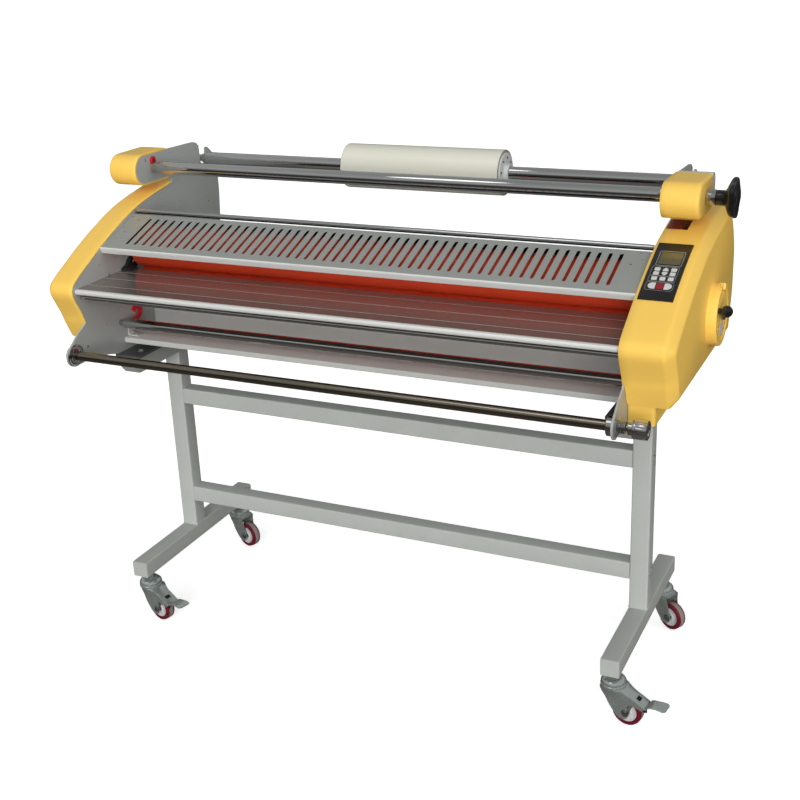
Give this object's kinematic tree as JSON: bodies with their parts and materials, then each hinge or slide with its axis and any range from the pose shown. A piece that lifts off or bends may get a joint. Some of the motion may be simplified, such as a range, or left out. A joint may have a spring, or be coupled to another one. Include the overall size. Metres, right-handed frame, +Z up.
{
  "type": "cold roll laminator",
  "caption": "Wide roll laminator with silicone pinch rollers between side covers, feed table, slotted guard, film shafts and a castered stand.",
  "frame": {"origin": "bottom centre of the whole machine's box, on the floor under the wheels", "axes": "+X towards the operator's right along the rollers, +Y away from the operator in the feed direction, +Z up"},
  "size_m": [1.7676, 0.794, 1.3572],
  "materials": {
    "paint_grey": "satin light grey enamel",
    "paint_light": "satin pale grey enamel",
    "yellow_plastic": "semi-gloss amber yellow moulding",
    "silicone": "smooth orange-red silicone",
    "steel": "turned steel",
    "chrome": "polished chrome",
    "black_plastic": "black moulding",
    "film": "cream white film",
    "lcd": "dark green-brown display window",
    "red_plastic": "red moulding",
    "zinc": "zinc plate",
    "tyre": "maroon polyurethane tread on a pale hub"
  },
  "bodies": {
    "frame": {"stand_post_left": "paint_grey", "stand_post_right": "paint_grey", "stand_foot_left": "paint_grey", "stand_foot_right": "paint_grey", "stand_arm_left": "paint_grey", "stand_arm_right": "paint_grey", "stand_beam_upper": "paint_grey", "stand_beam_lower": "paint_grey", "side_plate_left": "paint_grey", "side_plate_right": "paint_grey", "cover_left": "yellow_plastic", "cover_right": "yellow_plastic", "supply_head_left": "yellow_plastic", "supply_head_right": "yellow_plastic", "supply_head_end_cap": "paint_light", "brake_sleeve": "steel", "drive_motor": "steel", "roller_guard": "paint_grey", "feed_table": "paint_light", "front_panel": "paint_light", "lower_crossmember": "paint_light", "rear_cover": "paint_grey", "takeup_spring": "steel", "control_panel": "black_plastic", "lcd_window": "lcd", "power_inlet": "black_plastic", "caster_stem_front_left": "zinc", "caster_stem_rear_left": "zinc", "caster_stem_front_right": "zinc", "caster_stem_rear_right": "zinc"},
    "caster_fork_front_left": {"caster_fork_front_left": "zinc"},
    "caster_wheel_front_left": {"caster_wheel_front_left": "tyre"},
    "brake_pedal_front_left": {"brake_pedal_front_left": "zinc"},
    "caster_fork_rear_left": {"caster_fork_rear_left": "zinc"},
    "caster_wheel_rear_left": {"caster_wheel_rear_left": "tyre"},
    "caster_fork_front_right": {"caster_fork_front_right": "zinc"},
    "caster_wheel_front_right": {"caster_wheel_front_right": "tyre"},
    "brake_pedal_front_right": {"brake_pedal_front_right": "zinc"},
    "caster_fork_rear_right": {"caster_fork_rear_right": "zinc"},
    "caster_wheel_rear_right": {"caster_wheel_rear_right": "tyre"},
    "lower_roller": {"lower_roller": "silicone", "drive_gear": "steel"},
    "motor_pinion": {"motor_pinion": "steel"},
    "lift_lever": {"lift_camshaft": "yellow_plastic", "lift_lever": "black_plastic"},
    "lift_carriage": {"bearing_carriage_left": "steel", "bearing_carriage_right": "steel"},
    "upper_roller": {"upper_roller": "silicone"},
    "supply_shaft_front": {"supply_shaft_front": "chrome"},
    "supply_shaft_rear": {"supply_shaft_rear": "chrome", "film_roll": "film"},
    "tension_knob": {"tension_knob": "black_plastic"},
    "guard_bar": {"guard_bar": "chrome"},
    "guide_bar_front": {"guide_bar_front": "chrome"},
    "liner_shaft": {"liner_shaft": "chrome"},
    "takeup_bar": {"takeup_bar": "steel"},
    "takeup_knob": {"takeup_knob": "steel"},
    "latch_upper": {"latch_upper": "red_plastic"},
    "latch_lower": {"latch_lower": "red_plastic"},
    "power_rocker": {"power_rocker": "red_plastic"}
  },
  "joints": [
    {"name": "swivel_front_left", "type": "hinge", "parent": "frame", "child": "caster_fork_front_left", "pos_m": [-0.75775, -0.207, 0.11], "axis": [0, 0, 1], "continuous": true},
    {"name": "wheel_front_left", "type": "hinge", "parent": "caster_fork_front_left", "child": "caster_wheel_front_left", "pos_m": [-0.717, -0.21716, 0.04], "axis": [0.2419, 0.9703, 0], "continuous": true},
    {"name": "brake_front_left", "type": "hinge", "parent": "caster_fork_front_left", "child": "brake_pedal_front_left", "pos_m": [-0.70535, -0.22006, 0.078], "axis": [0.2419, 0.9703, 0], "range_deg": [0, 7]},
    {"name": "swivel_rear_left", "type": "hinge", "parent": "frame", "child": "caster_fork_rear_left", "pos_m": [-0.75775, 0.293, 0.11], "axis": [0, 0, 1], "continuous": true},
    {"name": "wheel_rear_left", "type": "hinge", "parent": "caster_fork_rear_left", "child": "caster_wheel_rear_left", "pos_m": [-0.71738, 0.28142, 0.04], "axis": [0.2756, 0.9613, 0], "continuous": true},
    {"name": "swivel_front_right", "type": "hinge", "parent": "frame", "child": "caster_fork_front_right", "pos_m": [0.67025, -0.207, 0.11], "axis": [0, 0, 1], "continuous": true},
    {"name": "wheel_front_right", "type": "hinge", "parent": "caster_fork_front_right", "child": "caster_wheel_front_right", "pos_m": [0.71184, -0.21285, 0.04], "axis": [0.1392, 0.9903, 0], "continuous": true},
    {"name": "brake_front_right", "type": "hinge", "parent": "caster_fork_front_right", "child": "brake_pedal_front_right", "pos_m": [0.72372, -0.21452, 0.078], "axis": [0.1392, 0.9903, 0], "range_deg": [0, 7]},
    {"name": "swivel_rear_right", "type": "hinge", "parent": "frame", "child": "caster_fork_rear_right", "pos_m": [0.67025, 0.293, 0.11], "axis": [0, 0, 1], "continuous": true},
    {"name": "wheel_rear_right", "type": "hinge", "parent": "caster_fork_rear_right", "child": "caster_wheel_rear_right", "pos_m": [0.70733, 0.27328, 0.04], "axis": [0.4695, 0.8829, 0], "continuous": true},
    {"name": "lower_roller_spin", "type": "hinge", "parent": "frame", "child": "lower_roller", "pos_m": [-0.04375, -0.047, 0.9898], "axis": [1, 0, 0], "continuous": true},
    {"name": "motor_pinion_spin", "type": "hinge", "parent": "frame", "child": "motor_pinion", "pos_m": [-0.81375, 0.046, 0.95586], "axis": [1, 0, 0], "continuous": true},
    {"name": "lift_lever_turn", "type": "hinge", "parent": "frame", "child": "lift_lever", "pos_m": [0.84925, 0.048, 1.028], "axis": [-1, 0, 0], "range_deg": [0, 80]},
    {"name": "roller_lift", "type": "slide", "parent": "frame", "child": "lift_carriage", "axis": [0, 0, 1], "range_m": [0, 0.016]},
    {"name": "upper_roller_spin", "type": "hinge", "parent": "lift_carriage", "child": "upper_roller", "pos_m": [-0.04375, -0.047, 1.1102], "axis": [1, 0, 0], "continuous": true},
    {"name": "supply_shaft_front_spin", "type": "hinge", "parent": "frame", "child": "supply_shaft_front", "pos_m": [-0.04375, 0.068, 1.308], "axis": [1, 0, 0], "continuous": true},
    {"name": "supply_shaft_rear_spin", "type": "hinge", "parent": "frame", "child": "supply_shaft_rear", "pos_m": [-0.04375, 0.323, 1.288], "axis": [1, 0, 0], "continuous": true},
    {"name": "tension_knob_turn", "type": "hinge", "parent": "frame", "child": "tension_knob", "pos_m": [0.83625, 0.068, 1.308], "axis": [1, 0, 0], "range_deg": [-360, 360]},
    {"name": "guard_bar_spin", "type": "hinge", "parent": "frame", "child": "guard_bar", "pos_m": [-0.04375, -0.033, 1.203], "axis": [1, 0, 0], "continuous": true},
    {"name": "guide_bar_front_spin", "type": "hinge", "parent": "frame", "child": "guide_bar_front", "pos_m": [-0.04375, -0.312, 1.028], "axis": [1, 0, 0], "continuous": true},
    {"name": "liner_shaft_spin", "type": "hinge", "parent": "frame", "child": "liner_shaft", "pos_m": [-0.04375, -0.16, 0.91], "axis": [1, 0, 0], "continuous": true},
    {"name": "takeup_bar_spin", "type": "hinge", "parent": "frame", "child": "takeup_bar", "pos_m": [-0.04375, -0.366, 0.88], "axis": [1, 0, 0], "continuous": true},
    {"name": "takeup_knob_turn", "type": "hinge", "parent": "frame", "child": "takeup_knob", "pos_m": [0.75625, -0.366, 0.88], "axis": [1, 0, 0], "range_deg": [-360, 360]},
    {"name": "latch_upper_turn", "type": "hinge", "parent": "frame", "child": "latch_upper", "pos_m": [-0.78575, 0.068, 1.3278], "axis": [1, 0, 0], "range_deg": [0, 90]},
    {"name": "latch_lower_turn", "type": "hinge", "parent": "frame", "child": "latch_lower", "pos_m": [-0.78375, -0.074, 0.918], "axis": [-1, 0, 0], "range_deg": [0, 35]},
    {"name": "power_rocker_tilt", "type": "hinge", "parent": "frame", "child": "power_rocker", "pos_m": [-0.82675, 0.326, 1.087], "axis": [-1, 0, 0], "range_deg": [0, 10]}
  ],
  "couplings": [
    {"joint": "motor_pinion_spin", "follows": "lower_roller_spin", "ratio": -2.6667},
    {"joint": "lift_lever_turn", "follows": "roller_lift", "rad_per_m": 87.2},
    {"joint": "upper_roller_spin", "follows": "lower_roller_spin", "ratio": -1}
  ]
}
